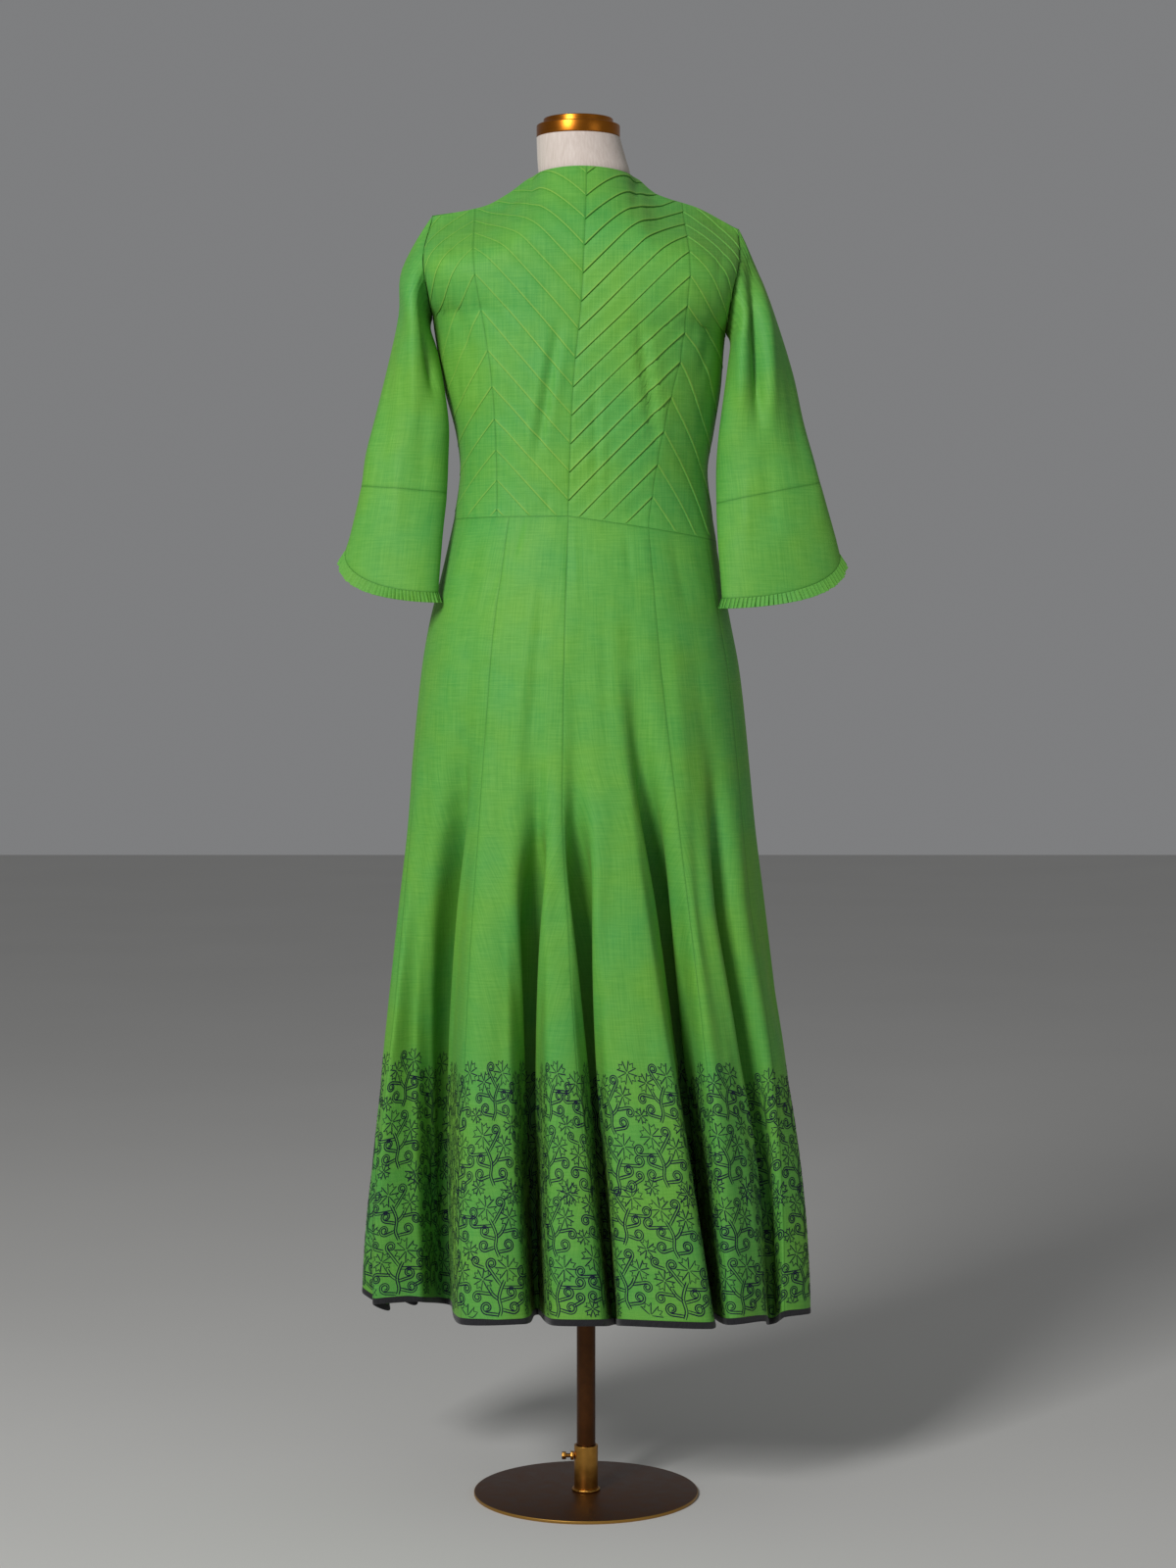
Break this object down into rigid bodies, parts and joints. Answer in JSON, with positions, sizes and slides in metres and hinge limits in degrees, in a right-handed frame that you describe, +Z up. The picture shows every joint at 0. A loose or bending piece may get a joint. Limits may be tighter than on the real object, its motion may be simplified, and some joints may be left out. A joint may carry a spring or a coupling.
{
  "type": "long kurti on a dress form",
  "caption": "Long flared kurti with a pin-tucked back bodice, sleeves with frilled cuffs and a bordered hem, worn by a limbless dress form on a pole stand.",
  "frame": {"origin": "centre of the round base plate's underside, below the pole", "axes": "+Z up along the pole; -Y towards the viewer of the garment's back; +X towards the garment's right side as seen from behind"},
  "size_m": [0.5913, 0.3576, 1.6134],
  "materials": {
    "kurti_cloth": "shot green cotton silk, fine slub weave",
    "hem_tape": "black cotton tape",
    "form_cover": "cream cotton jersey",
    "brass_fittings": "brushed",
    "bronze_stand": "dark bronze lacquer"
  },
  "bodies": {
    "root": {"back_centre_left": "kurti_cloth", "back_centre_right": "kurti_cloth", "back_side_left": "kurti_cloth", "back_side_right": "kurti_cloth", "front": "kurti_cloth", "skirt_gore_01": "kurti_cloth", "skirt_gore_02": "kurti_cloth", "skirt_gore_03": "kurti_cloth", "skirt_gore_04": "kurti_cloth", "skirt_gore_05": "kurti_cloth", "skirt_gore_06": "kurti_cloth", "skirt_gore_07": "kurti_cloth", "skirt_gore_08": "kurti_cloth", "skirt_gore_09": "kurti_cloth", "skirt_gore_10": "kurti_cloth", "sleeve_left": "kurti_cloth", "sleeve_right": "kurti_cloth", "cuff_left": "kurti_cloth", "cuff_right": "kurti_cloth", "frill_left": "kurti_cloth", "frill_right": "kurti_cloth", "hem_binding_01": "hem_tape", "hem_binding_02": "hem_tape", "hem_binding_03": "hem_tape", "hem_binding_04": "hem_tape", "hem_binding_05": "hem_tape", "hem_binding_06": "hem_tape", "hem_binding_07": "hem_tape", "hem_binding_08": "hem_tape", "hem_binding_09": "hem_tape", "hem_binding_10": "hem_tape", "form_body": "form_cover", "neck_cap": "brass_fittings", "socket": "brass_fittings", "set_screw": "brass_fittings", "lock_nut": "brass_fittings", "pole": "bronze_stand", "base_plate": "bronze_stand"}
  },
  "joints": []
}
